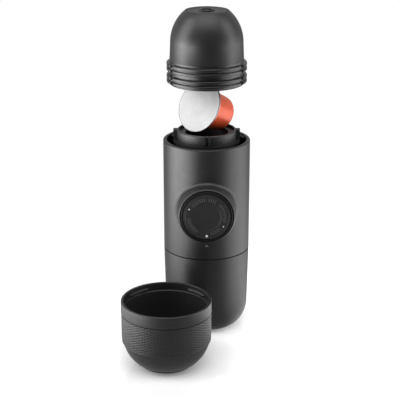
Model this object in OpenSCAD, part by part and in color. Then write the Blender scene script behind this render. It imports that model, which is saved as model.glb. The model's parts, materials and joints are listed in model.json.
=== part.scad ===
// Handheld manual espresso maker, opened up: the outlet head is lifted off,
// a capsule leans in the mouth of the chamber and the cup stands beside it.
// The origin is on the machine's axis at its foot. The knob faces -Y.

/* [Body] */
// Outside diameter of the body and of the tank's rim
body_od = 60; // [58:0.5:62]
// Wall of the body shell
body_wall = 2.4; // [2:0.1:2.7]
// Height of the seam between the tank and the body
seam_z = 58.5; // [50:0.5:70]
// Dark gap that shows at the seam
seam_gap = 0.5; // [0.3:0.1:0.8]
// Height of the knob's axis above the seam
knob_rise = 34.4; // [32:0.2:40]

/* [Knob and pump] */
// Diameter of the knob
knob_od = 35.1; // [32:0.1:36]
// Distance of the knob's face from the machine's axis
knob_face = 39.5; // [38.5:0.5:44]
// Travel of the knob and piston
pump_travel = 18; // [12:0.5:19]
// Turn of the knob between unlocked and locked
knob_turn = 60; // [40:5:70]
// Wall of the knob's skirt
knob_wall = 1.65; // [1.4:0.05:1.9]
// Width of the raised collar round the knob
collar_w = 1.7; // [1.5:0.1:2]
// How far the collar's inner lip stands back from the knob's face
collar_back = 0.9; // [0.8:0.1:2.4]
// Height of the collar's sloping front
collar_slope = 4.6; // [3:0.2:6]
// Radial gap between knob and collar
knob_gap = 0.5; // [0.35:0.05:0.6]
// Bore of the pump cylinder
pump_bore = 17; // [14:0.5:17.5]
// Wall of the pump cylinder
pump_wall = 2.2; // [1.8:0.1:2.4]
// Diameter of the piston rod
rod_d = 6; // [5:0.5:7]
// Radial running clearance of piston and rod
run_gap = 0.05; // [0.02:0.01:0.08]
// Wire of the return spring
spring_wire = 1.2; // [0.9:0.1:1.3]
// Turns of the return spring
spring_turns = 8; // [6:1:9]

/* [Capsule and chamber] */
// Diameter of the capsule's flange
capsule_flange_d = 37; // [36:0.25:38]
// Thickness of the capsule's rolled flange
capsule_flange_t = 1; // [0.8:0.1:1.2]
// Diameter of the capsule's body under the flange
capsule_body_d = 28.4; // [27:0.2:29]
// Diameter of the capsule's body where its end begins
capsule_end_d = 24; // [22:0.25:25]
// Height of the capsule
capsule_h = 28; // [27:0.25:29]
// Height of the capsule's rounded end
capsule_dome = 6.5; // [5:0.25:8]
// Metal of the capsule
capsule_wall = 0.3; // [0.2:0.05:0.4]
// Direction in which the leaning capsule's foil faces, seen from above
capsule_turn = 224.4; // [215:0.2:232]
// Angle by which the leaning capsule's foil faces up
capsule_tilt = 24; // [20:0.5:28]
// How far the leaning capsule's foil stands above the chamber's ring
capsule_up = 17; // [17:0.1:17.6]
// Height of the chamber's ring above the body's rim
ring_rise = 7; // [5:0.25:9]
// Wall of the chamber's ring
ring_wall = 1.5; // [1.2:0.1:1.8]
// Height of the ring's lip above a seated capsule
ring_lip = 1; // [0.5:0.1:1.5]
// How far the chamber's fins stand out from its ring
fin_out = 2.6; // [2.2:0.1:2.8]
// Gap between the knob's skirt and the chamber's floor
floor_gap = 0.65; // [0.5:0.05:1.5]
// Wall of the chamber
chamber_wall = 2; // [1.6:0.1:2.4]

/* [Outlet head] */
// Height of the outlet head
head_h = 49.7; // [47:0.1:54]
// How far the head's lower edge is lifted above its seat
head_lift = 49; // [47:0.5:60]
// How far the head's skirt reaches below the body's rim when it is closed
head_seat = 9.8; // [9.4:0.1:10.4]
// Diameter of the dome
dome_od = 49.4; // [47:0.2:51]
// Height at which the dome begins to round over
dome_spring = 28; // [26:0.5:30]
// Depth of the head's thread
thread_depth = 2; // [1.6:0.1:2.2]
// Wall of the dome
dome_wall = 2; // [1.6:0.1:2.4]
// Diameter of the outlet disc in the dome's top
outlet_d = 27; // [24:0.5:28]

/* [Tank] */
// Wall of the water tank
tank_wall = 2; // [1.6:0.1:2.4]
// How much the tank's radius narrows towards its foot
tank_taper = 1; // [0.5:0.1:1.5]
// Diameter of the flat foot
tank_foot_d = 36; // [32:0.5:38]
// Height of the tank's rounded corner
tank_round = 17.5; // [13:0.5:20]
// Length of the tank's neck joint
neck_h = 8; // [6:0.5:10]

/* [Cup] */
// Outside diameter of the cup
cup_od = 60; // [59:0.25:62]
// Height of the cup
cup_h = 45.6; // [43:0.2:50]
// Wall of the cup
cup_wall = 1.7; // [1.4:0.1:1.9]
// Diameter of the cup's foot
cup_foot_d = 35; // [32:0.5:38]
// Depth of the cup's smooth rim band
cup_band = 8.2; // [7:0.2:9]
// Place of the cup to the side of the machine
cup_x = -26.9; // [-40:0.1:-20]
// Place of the cup in front of the machine
cup_y = -67.9; // [-85:0.1:-66]

/* [Hidden] */
$fn = 96;
eps = 0.01;

// Body
body_r = body_od / 2;
body_ri = body_r - body_wall;
knob_z = seam_z + knob_rise;
lip_round = 0.8;

// Knob: its skirt runs in a sleeve that is one piece with the shell
knob_r = knob_od / 2;
knob_ri = knob_r - knob_wall;
sleeve_ri = knob_r + knob_gap;
collar_r = sleeve_ri + collar_w;
collar_at = knob_face - collar_back;
lip_in = 0.3;
lug_out = 1;
lug_len = 1.8;
lug_gap = 0.3;
lug_w = 5;
skirt_at = 13.5;
sleeve_at = skirt_at + lug_len + lug_gap;
lug_slot_r = knob_r + lug_out + lug_gap;
lug_slot_len = lug_len + 2 * lug_gap;
lug_play = 0.05;
lug_half = asin((lug_w / 2 + lug_gap) / sleeve_ri) + 3;
face_t = 2;
groove_in = 1.4;
groove_deep = 0.8;
face_r = knob_r - groove_in;
knob_round = 0.6;

// Pump
plate_y = 4;
plate_t = 3.2;
plate_w = 40;
bore_r = pump_bore / 2;
cyl_r = bore_r + pump_wall;
cyl_flange_r = 15;
cyl_flange_t = 3;
disc_t = 1.5;
disc_gap = 0.3;
disc_r = knob_ri - 0.4;
disc_at = knob_face - face_t - disc_gap;
cyl_front = disc_at - disc_t - 1.2;
piston_gap = 0.6;
piston_len = 6;
seal_len = 2;
seal_deep = 1.3;
bush_len = 4;
clip_t = 1;
clip_w = 1.6;
spring_gap = 0.35;
spring_r = cyl_r + spring_gap + spring_wire / 2;

// Valve block behind the plate
block_w = 16;
block_d = 10;
block_h = 28;
block_y = plate_y + plate_t;
port_r = 1.6;
pipe_y = block_y + 3.9;
pipe_r = 2.5;
pipe_ri = 1.5;
valve_r = 3.4;
pocket_r = 4;
valve_t = 0.8;
pocket_h = 4;
pipe_in = 3;
screw_x = 5.8;
screw_z = 10.5;
valve_in = 2.5;
inlet_z = knob_z - block_h / 2 + pipe_in + valve_in;
outlet_z = knob_z + block_h / 2 - pipe_in - valve_in - pocket_h;

// Chamber: it stands on the plate and holds the capsule by its flange
fit = 0.4;
chamber_base = knob_z + knob_r + floor_gap;
chamber_floor = chamber_base + chamber_wall;
ledge_z = chamber_floor + capsule_h + fit;
ring_top = ledge_z + capsule_flange_t + ring_lip;
rim_z = ring_top - ring_rise;
capsule_r = capsule_body_d / 2;
capsule_flange_r = capsule_flange_d / 2;
needle_h = 3;
needle_at = capsule_end_d / 4;
pierce_t = 0.8;
lean_front = 19.79 - capsule_r - fit;
lean_side = 2.28;
ring_ri = capsule_flange_r + fit;
ring_r = ring_ri + ring_wall;
fin_r = ring_r + fin_out;
fin_t = 1.7;
fin_gap = 1.9;
fin_turn = 0;
flange_up = 0.3;
flange_t = 2;
bowl_r = capsule_r + fit + chamber_wall;
bowl_foot_r = capsule_end_d / 2 + fit + chamber_wall;

// Frame
base_z = seam_z + 1.5;
base_t = 3;
frame_gap = 0.3;
neck_wall = 1.3;
neck_r = body_ri - 0.3;
neck_ri = neck_r - neck_wall;
ridge_out = 0.5;
skirt_r = neck_ri - 0.3 - ridge_out;
skirt_wall = 1.8;
gasket_t = 0.7;
screw_r = 1.25;
screw_head_r = 2.4;
screw_ring = skirt_r - skirt_wall - screw_head_r - 0.6;
boss_r = 3;
boss_h = 9;
gusset_x = 8.5;
gusset_t = 2.5;
gusset_out = 7.8;
gusset_h = 14;

// Head: its thread passes inside the shell
head_z = rim_z - head_seat + head_lift;
crest_r = body_ri - 0.35;
plain_r = crest_r - thread_depth;
head_ri = fin_r + 0.3;
dome_r = dome_od / 2;
dome_draft = 0.5;
outlet_r = outlet_d / 2;
plate_rel = head_seat + ring_rise - ring_lip + 0.3;
plate_head_t = 1;
gasket_rel = head_seat + ring_rise + 0.3;
gasket_head_t = 2;
funnel_rel = gasket_rel + gasket_head_t;
funnel_t = 1.8;
spout_r = 5.3;
spout_wall = 1.4;
ridge_h = 2.6;
ridge_gap = 0.6;
pair_gap = 2.4;
ridge_lo = 1.2;
slot_w = 2.8;
score_in = 2.5;
score_w = 0.6;

// Cup
cup_r = cup_od / 2;
cup_ri = cup_r - cup_wall;
cup_round = 22;
cup_corner = 16;
cup_step = 0.6;
cup_lug_in = 1.2;

// Points of a quarter ellipse from its side to its top
function arc(cx, cy, a, b, from, to, n = 12) =
    [for (i = [0:n]) let (t = from + (to - from) * i / n) [cx + a * cos(t), cy + b * sin(t)]];

// Ring or tube with a true bore
module tube(r, ri, h) {
    difference() {
        cylinder(r = r, h = h);
        translate([0, 0, -1]) cylinder(r = ri, h = h + 2);
    }
}

// Children drawn along +Z lie along the knob's axis, counted outwards from the machine's axis
module along_knob(at = 0) {
    translate([0, -at, knob_z]) rotate([90, 0, 0]) children();
}

// Socket screw with its head under z = 0 and its shank above
module screw(length, r = screw_r, head = screw_head_r, head_t = 1.6) {
    difference() {
        union() {
            translate([0, 0, -head_t]) cylinder(r = head, h = head_t, $fn = 32);
            cylinder(r = r, h = length, $fn = 32);
        }
        translate([0, 0, -head_t - 1]) cylinder(r = head * 0.45, h = 1 + head_t * 0.6, $fn = 6);
    }
}

// Body ---------------------------------------------------------------

module shell_wall() {
    rotate_extrude() polygon(concat(
        [[body_ri, seam_z], [body_r, seam_z]],
        arc(body_r - lip_round, rim_z - lip_round, lip_round, lip_round, 0, 90, 4),
        [[body_ri, rim_z]]
    ));
}

// Raised collar: a wall out of the shell and a front that rounds over to the knob
module collar() {
    rotate_extrude() polygon(concat(
        [[0, sleeve_at], [collar_r - 0.4, sleeve_at], [collar_r, sleeve_at + 3]],
        arc(sleeve_ri + lip_in, collar_at - collar_slope, collar_w - lip_in, collar_slope, 0, 90, 8),
        [[sleeve_ri + 0.2, collar_at], [0, collar_at]]
    ));
}

// Bore for the knob's skirt, with two slots and an outer groove for its lugs
module sleeve_cut() {
    translate([0, 0, sleeve_at - 1]) cylinder(r = sleeve_ri, h = knob_face);
    for (a = [0, 180]) rotate(a - knob_turn - lug_half) rotate_extrude(angle = knob_turn + 2 * lug_half)
        translate([sleeve_ri - 1, skirt_at + pump_travel - lug_gap])
            square([lug_slot_r - sleeve_ri + 1 + lug_play, lug_slot_len]);
    intersection() {
        translate([0, 0, sleeve_at - 1]) cylinder(r = lug_slot_r, h = pump_travel + 1);
        translate([-knob_od, -lug_w / 2 - lug_gap, 0])
            cube([2 * knob_od, lug_w + 2 * lug_gap, knob_face]);
    }
}

// Short inner thread that holds the head's lower ridges down
module inner_thread() {
    translate([0, 0, rim_z - head_seat + ridge_lo + 2 * ridge_h + ridge_gap + 0.3])
        rotate_extrude(angle = 50) polygon([
            [body_ri + 0.2, 0], [plain_r + 0.9, 0.4], [plain_r + 0.9, 1.3], [body_ri + 0.2, 1.7]
        ]);
}

module body_shell() {
    color("#3a3a3c") difference() {
        union() {
            difference() {
                shell_wall();
                along_knob(sleeve_at) cylinder(r = sleeve_ri, h = knob_face);
            }
            for (a = [45:90:315]) rotate(a) intersection() {
                translate([screw_ring, 0, base_z + base_t + frame_gap]) {
                    cylinder(r = boss_r, h = boss_h);
                    translate([0, -1.5, 0]) cube([body_r, 3, boss_h]);
                }
                cylinder(r = body_r - body_wall / 2, h = rim_z);
            }
            along_knob() collar();
            for (a = [15:90:285]) rotate(a) inner_thread();
        }
        along_knob() sleeve_cut();
        for (a = [45:90:315]) rotate(a)
            translate([screw_ring, 0, base_z]) cylinder(r = screw_r, h = base_t + boss_h - 1);
    }
}

// Base, skirt for the tank's neck, upright plate and two ears under the chamber's flange
module pump_frame() {
    base_r = body_ri - frame_gap;
    ear_h = rim_z + flange_up - flange_t;
    color("#5b5d60") difference() {
        union() {
            translate([0, 0, base_z]) cylinder(r = base_r, h = base_t);
            translate([0, 0, seam_z - neck_h]) tube(skirt_r, skirt_r - skirt_wall, neck_h + 2);
            translate([0, 0, seam_z - neck_h / 2]) rotate_extrude() polygon([
                [skirt_r - 0.5, -1.6], [skirt_r + ridge_out, -0.6], [skirt_r + ridge_out, 0.6],
                [skirt_r - 0.5, 1.6]
            ]);
            translate([-plate_w / 2, plate_y, base_z + 1])
                cube([plate_w, plate_t, chamber_base - base_z - 1]);
            for (s = [-1, 1]) {
                translate([s * (bowl_r + 2.3) - 1.9, plate_y, chamber_base - 6])
                    cube([3.8, plate_t, ear_h - chamber_base + 6]);
                translate([s * gusset_x - gusset_t / 2, plate_y + 1, base_z + 1])
                    cube([gusset_t, plate_t - 1 + gusset_out + 1, gusset_h]);
            }
        }
        for (a = [45:90:315]) rotate(a)
            translate([screw_ring, 0, base_z - 1]) cylinder(r = screw_r + 0.1, h = base_t + 2);
        translate([0, pipe_y, seam_z - 2]) cylinder(r = pipe_r + 0.1, h = base_t + 6);
        along_knob(-block_y - 1) cylinder(r = port_r, h = plate_t + 2);
        for (x = [-1, 1], z = [-1, 1])
            translate([x * screw_x, block_y + 1, knob_z + z * screw_z]) rotate([90, 0, 0])
                cylinder(r = 1.1, h = plate_t + 2);
    }
}

module tank_gasket() {
    color("#1b1b1c") translate([0, 0, base_z - gasket_t])
        tube(neck_r, skirt_r + 0.1, gasket_t);
}

module frame_screws() {
    color("silver") for (a = [45:90:315]) rotate(a)
        translate([screw_ring, 0, base_z]) screw(base_t + boss_h - 2, screw_r - 0.05);
}

module pump_cylinder() {
    color("#c9cbcd") along_knob(-plate_y) difference() {
        union() {
            cylinder(r = cyl_flange_r, h = cyl_flange_t);
            cylinder(r = cyl_r, h = plate_y + cyl_front);
        }
        translate([0, 0, -1]) cylinder(r = bore_r, h = plate_y + cyl_front + 2);
    }
}

module rod_bush() {
    color("#e7e2d2") along_knob(cyl_front - bush_len)
        tube(bore_r - 0.02, rod_d / 2 + run_gap, bush_len);
}

// Block with the water's way up and a pocket for each valve
module valve_block() {
    color("#d8d9da") difference() {
        translate([-block_w / 2, block_y, knob_z - block_h / 2]) cube([block_w, block_d, block_h]);
        translate([0, pipe_y, knob_z - block_h / 2 - 1]) cylinder(r = port_r, h = block_h + 2);
        for (z = [inlet_z, outlet_z]) translate([0, pipe_y, z]) cylinder(r = pocket_r - 0.3, h = pocket_h);
        along_knob(-pipe_y) cylinder(r = port_r, h = pipe_y);
        for (x = [-1, 1], z = [-1, 1])
            translate([x * screw_x, block_y + block_d + 1, knob_z + z * screw_z]) rotate([90, 0, 0])
                cylinder(r = 1.1, h = block_d + 2);
        for (z = [-1, 1]) translate([0, pipe_y, knob_z + z * (block_h / 2 - pipe_in / 2)])
            cylinder(r = pipe_r + 0.05, h = pipe_in + eps, center = true);
    }
}

// Soft flap on its seat, with a stem in the port below
module flap(z) {
    color("#c9a48b") translate([0, pipe_y, z]) {
        cylinder(r = valve_r, h = valve_t);
        cylinder(r = 1.0, h = valve_t + 1.4);
        translate([0, 0, -1.8]) cylinder(r = 0.7, h = 2);
    }
}

module inlet_valve() { flap(inlet_z); }
module outlet_valve() { flap(outlet_z); }

module valve_screws() {
    color("silver") for (x = [-1, 1], z = [-1, 1])
        translate([x * screw_x, block_y + block_d, knob_z + z * screw_z]) rotate([90, 0, 0])
            screw(block_d + plate_t - 0.4, 1, 1.9, 1.4);
}

module suction_tube() {
    foot = tank_wall + 5;
    color("#dfe3e4") translate([0, pipe_y, foot])
        tube(pipe_r, pipe_ri, knob_z - block_h / 2 + pipe_in - 0.2 - foot);
}

// Strainer cap on the tube's lower end
module inlet_filter() {
    color("#2a2a2c") translate([0, pipe_y, tank_wall + 1.6]) difference() {
        cylinder(r = pipe_r + 1.6, h = 7);
        translate([0, 0, 3.2]) cylinder(r = pipe_r + 0.05, h = 5);
        translate([0, 0, 0.8]) cylinder(r = pipe_r - 0.4, h = 5);
        for (a = [0:60:120]) rotate(a) translate([0, 0, 1.9]) cube([12, 0.9, 1.4], center = true);
    }
}

module riser_tube() {
    bottom = knob_z + block_h / 2 - pipe_in + 0.2;
    color("#dfe3e4") translate([0, pipe_y, bottom]) tube(pipe_r, pipe_ri, chamber_floor - bottom - 0.2);
}

// Chamber: bowl, ledge for the capsule's flange, ring, flange and four pairs of fins
module capsule_chamber() {
    under = rim_z + flange_up - flange_t;
    top_r = capsule_r + fit;
    end_r = capsule_end_d / 2 + fit;
    color("#2f2f31") difference() {
        union() {
            rotate_extrude() polygon([
                [0, chamber_base], [bowl_foot_r, chamber_base], [bowl_r, chamber_base + 7],
                [bowl_r, under], [fin_r, under], [fin_r, rim_z + flange_up],
                [ring_r, rim_z + flange_up], [ring_r, ring_top - 0.5], [ring_r - 0.5, ring_top],
                [ring_ri + 0.3, ring_top], [ring_ri, ring_top - 0.3], [ring_ri, ledge_z],
                [top_r + 0.4, ledge_z], [top_r, ledge_z - 0.4], [end_r, chamber_floor], [0, chamber_floor]
            ]);
            for (a = [fin_turn:90:fin_turn + 270]) rotate(a) for (s = [-1, 1])
                translate([ring_r - 0.6, s * (fin_gap + fin_t) / 2 - fin_t / 2, rim_z])
                    intersection() {
                        cube([fin_out + 0.6, fin_t, ring_rise - 0.2]);
                        translate([-ring_r + 0.6, -s * (fin_gap + fin_t) / 2 + fin_t / 2, 0])
                            cylinder(r = fin_r, h = ring_rise);
                    }
        }
        translate([0, pipe_y, chamber_base - 1]) cylinder(r = pipe_r + 0.05, h = chamber_wall + 2);
    }
}

// Steel plate on the chamber's floor with three hollow needles
module piercing_plate() {
    color("#d5d7d9") translate([0, 0, chamber_floor]) difference() {
        union() {
            cylinder(r = capsule_end_d / 2, h = pierce_t);
            for (a = [30:120:270]) rotate(a) translate([needle_at, 0, pierce_t])
                cylinder(r1 = 1.3, r2 = 0.45, h = needle_h, $fn = 24);
        }
        translate([0, pipe_y, -1]) cylinder(r = port_r, h = pierce_t + 2);
    }
}

// Piston and knob ----------------------------------------------------

// Piston head, rod and the thrust disc that carries the knob
module piston_rod() {
    head_r = bore_r - 6 * run_gap;
    back = plate_y - piston_gap;
    groove = (piston_len - seal_len) / 2;
    color("#b9bcbf") along_knob() {
        difference() {
            translate([0, 0, -back]) cylinder(r = head_r, h = piston_len);
            translate([0, 0, -back + groove]) tube(head_r + 1, bore_r - seal_deep - 0.3, seal_len + 0.1);
        }
        translate([0, 0, piston_len - back - eps])
            cylinder(r = rod_d / 2, h = disc_at - disc_t / 2 + back - piston_len);
        translate([0, 0, disc_at - disc_t]) cylinder(r = disc_r, h = disc_t);
    }
}

module piston_seal() {
    groove = (piston_len - seal_len) / 2;
    color("#1b1b1c") along_knob(-plate_y + piston_gap + groove + 0.05)
        tube(bore_r - run_gap, bore_r - seal_deep - 0.28, seal_len);
}

// Open wire coil round the cylinder, from its flange to the thrust disc
module return_spring() {
    sides = 6;
    steps = 16;
    len = disc_at - disc_t - (cyl_flange_t - plate_y) - spring_wire - 0.2;
    n = steps * spring_turns;
    points = [for (i = [0:n], k = [0:sides - 1])
        let (a = 360 * i / steps, b = 360 * k / sides,
             r = spring_r + spring_wire / 2 * cos(b))
        [r * cos(a), r * sin(a), len * i / n + spring_wire / 2 * sin(b)]];
    faces = concat(
        [[for (k = [0:sides - 1]) k]],
        [for (i = [0:n - 1], k = [0:sides - 1], t = [0, 1])
            let (p = i * sides + k, q = i * sides + (k + 1) % sides)
            t == 0 ? [p, p + sides, q] : [q, p + sides, q + sides]],
        [[for (k = [sides - 1:-1:0]) n * sides + k]]
    );
    color("silver") along_knob(cyl_flange_t - plate_y + spring_wire / 2 + 0.1)
        polyhedron(points, faces);
}

// Cap with its skirt, two lugs and a shallow groove round its face
module knob_cap() {
    color("#161617") along_knob() difference() {
        union() {
            rotate_extrude() polygon(concat(
                [[knob_ri, skirt_at], [knob_r, skirt_at]],
                arc(knob_r - knob_round, knob_face - knob_round, knob_round, knob_round, 0, 90, 4),
                [[face_r, knob_face], [face_r, knob_face - groove_deep],
                 [0, knob_face - groove_deep], [0, knob_face - face_t], [knob_ri, knob_face - face_t]]
            ));
            for (a = [0, 180]) rotate(a) translate([0, 0, skirt_at]) intersection() {
                translate([knob_ri + 0.3, -lug_w / 2, 0]) cube([knob_wall + lug_out, lug_w, lug_len]);
                cylinder(r = knob_r + lug_out, h = lug_len);
            }
        }
        // Groove that holds the retaining clip
        translate([0, 0, disc_at - disc_t - disc_gap - clip_t - 0.05])
            cylinder(r = knob_ri + 0.5, h = clip_t + 0.1);
    }
}

// Disc in the knob's face, dished in the middle
module knob_face_disc() {
    dish_r = 8.6;
    top = groove_deep;
    color("#2b2b2d") along_knob(knob_face - groove_deep) rotate_extrude() polygon([
        [0, 0], [face_r - 0.15, 0], [face_r - 0.15, top - 0.25], [face_r - 0.4, top],
        [dish_r + 1, top], [dish_r, top - 0.35], [dish_r * 0.6, top - 0.45], [0, top - 0.5]
    ]);
}

module knob_clip() {
    color("silver") along_knob(disc_at - disc_t - disc_gap - clip_t)
        tube(knob_ri + 0.45, knob_ri - clip_w, clip_t);
}

// Outlet head --------------------------------------------------------

// One ridge of the thread, with rounded corners
module ridge(z) {
    low = crest_r - 1.1;
    translate([0, 0, head_z + z]) rotate_extrude() polygon([
        [plain_r - 1, 0], [low, 0], [crest_r - 0.4, 0.3], [crest_r, 0.9],
        [crest_r, ridge_h - 0.9], [crest_r - 0.4, ridge_h - 0.3], [low, ridge_h], [plain_r - 1, ridge_h]
    ]);
}

module outlet_dome() {
    rise = (head_h - dome_spring) / sqrt(1 - pow((outlet_r + 0.8) / dome_r, 2));
    end = asin((head_h - dome_spring) / rise);
    in_r = dome_r - dome_wall;
    in_rise = rise - dome_wall;
    in_top = head_h - dome_wall - 0.8;
    in_end = asin((in_top - dome_spring) / in_rise);
    pair = 2 * ridge_h + ridge_gap;
    neck = ridge_lo + 2 * pair + pair_gap + 1.4;
    color("#3a3a3c") difference() {
        union() {
            translate([0, 0, head_z]) rotate_extrude() polygon(concat(
                [[head_ri, 0.3], [head_ri + 0.3, 0], [plain_r - 0.3, 0], [plain_r, 0.3],
                 [plain_r, neck - 0.8], [dome_r + dome_draft, neck]],
                arc(0, dome_spring, dome_r, rise, 0, end, 14),
                [[outlet_r + 0.3, head_h], [outlet_r, head_h - 0.8], [0, head_h - 0.8]],
                [[0, in_top]],
                arc(0, dome_spring, in_r, in_rise, in_end, 0, 10),
                [[in_r, funnel_rel + funnel_t + 1], [head_ri, funnel_rel + funnel_t - 0.6]]
            ));
            for (z = [ridge_lo, ridge_lo + ridge_h + ridge_gap]) {
                ridge(z);
                ridge(z + pair + pair_gap);
            }
            translate([0, 0, head_z + ridge_lo]) tube(crest_r - 1, plain_r - 1, pair);
            translate([0, 0, head_z + ridge_lo + pair + pair_gap])
                tube(crest_r - 1, plain_r - 1, pair);
        }
        for (a = [26:90:296]) rotate(a)
            translate([plain_r + 0.2, -slot_w / 2, head_z + ridge_lo - 1])
                cube([thread_depth + 3, slot_w, 2 * pair + pair_gap + 2]);
        translate([0, 0, head_z + head_h - 2 * dome_wall]) cylinder(r = spout_r, h = 2 * dome_wall + 1);
    }
}

// Round outlet in the recess of the dome's top, with a hub and spokes
module outlet_disc() {
    lip = 0.7;
    color("#2b2b2d") translate([0, 0, head_z + head_h - 0.8]) {
        difference() {
            tube(outlet_r - 0.3, spout_r - 0.1, 0.4);
            translate([0, 0, 0.25]) tube(outlet_r - score_in, outlet_r - score_in - score_w, 1);
        }
        translate([0, 0, -2.4]) tube(spout_r - 0.1, spout_r - spout_wall, 2.4 + 0.4 + lip);
        translate([0, 0, -2.4]) cylinder(r = 1.5, h = 2.4 + lip);
        for (a = [0:60:120]) rotate(a) translate([0, 0, -1.2])
            cube([2 * spout_r - spout_wall, 0.8, 1.8], center = true);
    }
}

// Funnel above the capsule: the coffee runs through its pipe to the outlet
module outlet_funnel() {
    pipe_top = head_h - 0.8 - 2.4 - 0.2;
    color("#4a4a4c") translate([0, 0, head_z]) rotate_extrude() polygon([
        [ring_ri - 1.2, plate_rel + plate_head_t], [ring_ri - 0.7, plate_rel + plate_head_t],
        [ring_ri - 0.7, funnel_rel], [head_ri - 0.15, funnel_rel],
        [head_ri - 0.15, funnel_rel + funnel_t - 0.8], [ring_ri, funnel_rel + funnel_t],
        [spout_r, funnel_rel + funnel_t + 6], [spout_r, pipe_top], [spout_r - spout_wall, pipe_top],
        [spout_r - spout_wall, funnel_rel + 6], [ring_ri - 1.2, funnel_rel]
    ]);
}

// Steel plate that opens the capsule's foil: a grid of holes
module extraction_plate() {
    step = 3.4;
    n = floor((ring_ri - 2.6) / step);
    color("#d5d7d9") translate([0, 0, head_z + plate_rel]) difference() {
        cylinder(r = ring_ri - 0.7, h = plate_head_t);
        for (i = [-n:n], j = [-n:n]) if (norm([i, j]) * step < ring_ri - 2.6)
            translate([i * step, j * step, -1]) cylinder(r = 0.7, h = plate_head_t + 2, $fn = 16);
    }
}

module head_gasket() {
    color("#a8442f") translate([0, 0, head_z + gasket_rel])
        tube(head_ri - 0.1, ring_ri - 0.65, gasket_head_t);
}

// Capsule ------------------------------------------------------------

// Puts what is drawn foil down at z = 0 and body up where the capsule leans
module leaning() {
    rotate([0, 0, capsule_turn - 180]) translate([-lean_front, lean_side, ring_top + capsule_up])
        rotate([0, 90 + capsule_tilt, 0]) children();
}

function capsule_side(in) = concat(
    [[capsule_r - in, 0], [capsule_end_d / 2 - in, capsule_h - capsule_dome]],
    arc(0, capsule_h - capsule_dome, capsule_end_d / 2 - in, capsule_dome - in, 10, 90, 8)
);

module capsule_cup() {
    inner = capsule_side(capsule_wall);
    color("#f0603a") leaning() rotate_extrude() polygon(concat(
        [[capsule_flange_r - 0.4, 0.1], [capsule_flange_r, 0.4], [capsule_flange_r, capsule_flange_t - 0.3],
         [capsule_flange_r - 0.4, capsule_flange_t], [capsule_r, 0.6]],
        [for (i = [1:len(capsule_side(0)) - 1]) capsule_side(0)[i]],
        [for (i = [len(inner) - 1:-1:0]) [inner[i][0], max(inner[i][1], 0.1)]]
    ));
}

module capsule_foil() {
    color("#d9dadb") leaning() translate([0, 0, -0.05]) cylinder(r = capsule_flange_r - 0.45, h = 0.15);
}

module coffee_puck() {
    side = capsule_side(capsule_wall + 0.15);
    color("#4a2d1a") leaning() rotate_extrude() polygon(concat(
        [[0, 1.5]], [[side[0][0] - 0.3, 1.5]],
        [for (i = [1:len(side) - 1]) side[i]]
    ));
}

// Tank and cup -------------------------------------------------------

module water_tank() {
    low_r = body_r - tank_taper;
    corner = low_r - tank_foot_d / 2;
    top = seam_z - seam_gap;
    in_r = low_r - tank_wall;
    in_corner = corner - tank_wall * 0.3;
    neck_top = base_z - gasket_t - 0.1;
    color("#38383a") rotate_extrude() polygon(concat(
        [[0, 0], [tank_foot_d / 2, 0]],
        arc(low_r - corner, tank_round, corner, tank_round, -84, 0, 10),
        [[body_r, top], [neck_r, top], [neck_r, neck_top], [neck_ri + 0.4, neck_top],
         [neck_ri, neck_top - 0.4], [neck_ri, top - neck_h], [body_r - tank_wall, top - neck_h - 2],
         [in_r, tank_round]],
        arc(in_r - in_corner, tank_round, in_corner, tank_round - tank_wall, 0, -90, 10),
        [[0, tank_wall]]
    ));
}

module cup() {
    band = cup_h - cup_band;
    foot = cup_foot_d / 2;
    low = -acos((foot + 0.4 - cup_r + cup_corner) / cup_corner);
    floor_z = cup_wall + 1;
    in_corner = cup_corner - 2;
    color("#2c2c2e") translate([cup_x, cup_y, 0]) {
        rotate_extrude() polygon(concat(
            [[0, 0.8], [foot - 2, 0.8], [foot - 1.6, 0], [foot, 0]],
            arc(cup_r - cup_corner, cup_round, cup_corner, cup_round, low, 0, 12),
            [[cup_r, band - 0.5], [cup_r - 0.6, band - 0.3], [cup_r - 0.6, band + 0.3],
             [cup_r + 0.1, band + 0.5], [cup_r, band + 3]],
            arc(cup_r - 0.6, cup_h - 0.6, 0.6, 0.6, 0, 90, 4),
            [[cup_ri, cup_h], [cup_ri, cup_h - 5.5], [cup_ri - cup_step, cup_h - 5.7],
             [cup_ri - cup_step, cup_round]],
            arc(cup_ri - cup_step - in_corner, cup_round, in_corner, cup_round - floor_z, 0, -90, 10),
            [[0, floor_z]]
        ));
        for (a = [28:90:298]) rotate(a) translate([0, 0, cup_h - 4.3])
            rotate_extrude(angle = 32) polygon([
                [cup_ri + 0.5, -0.2], [cup_ri - cup_lug_in, 0.5], [cup_ri - cup_lug_in, 1.3],
                [cup_ri + 0.5, 2]
            ]);
    }
}

body_shell();
pump_frame();
tank_gasket();
frame_screws();
pump_cylinder();
rod_bush();
valve_block();
inlet_valve();
outlet_valve();
valve_screws();
suction_tube();
inlet_filter();
riser_tube();
capsule_chamber();
piercing_plate();
piston_rod();
piston_seal();
return_spring();
knob_cap();
knob_face_disc();
knob_clip();
outlet_dome();
outlet_disc();
outlet_funnel();
extraction_plate();
head_gasket();
capsule_cup();
capsule_foil();
coffee_puck();
water_tank();
cup();
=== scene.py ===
"""Looks of the handheld espresso maker: finishes, smooth shells, knurl, coil, light and camera.

Lengths are written in millimetres and turned into metres where a mesh is made. Places come from
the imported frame; what only the looks need is a named value beside the piece that uses it.
"""

import json
import math

import bmesh
import bpy
from mathutils import Matrix, Vector


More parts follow.
